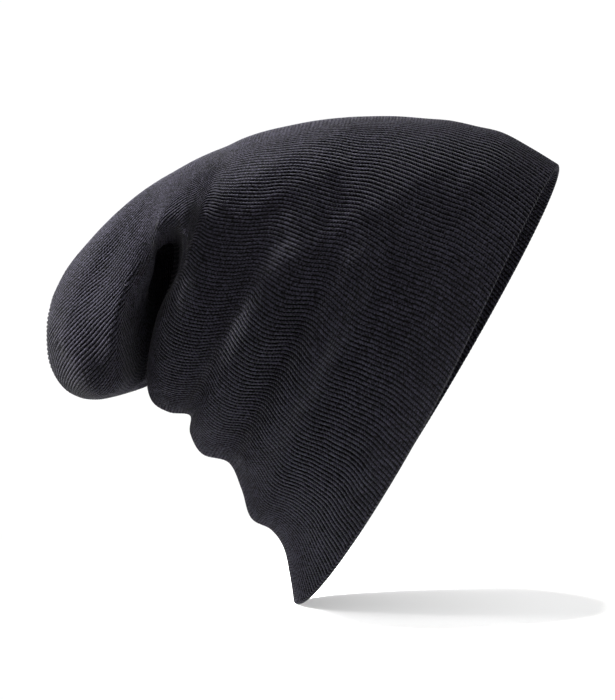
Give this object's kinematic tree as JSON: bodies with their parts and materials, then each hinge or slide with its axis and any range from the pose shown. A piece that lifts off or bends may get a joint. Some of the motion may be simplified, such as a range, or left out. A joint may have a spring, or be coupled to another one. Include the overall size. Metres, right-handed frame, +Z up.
{
  "type": "slouch beanie",
  "caption": "Long slouch beanie in black fine rib knit, as worn on a head: one soft bag with an open mouth, pinched at its neck, its crown end hanging down behind.",
  "frame": {"origin": "middle of the mouth, where the head goes in, half way along the line from the rim's nape point to its forehead point", "axes": "+Z up as the beanie is worn in the picture, +X towards the forehead, -Y towards the side that the picture shows"},
  "size_m": [0.2336, 0.1424, 0.2219],
  "materials": {
    "rib_knit": "near-black fine 1x1 rib knit, matt, with a soft lighter sheen at grazing angles",
    "gather_knit": "the same near-black knit, drawn tight"
  },
  "bodies": {
    "root": {"knit_shell": "rib_knit", "crown_gather": "gather_knit"}
  },
  "joints": []
}
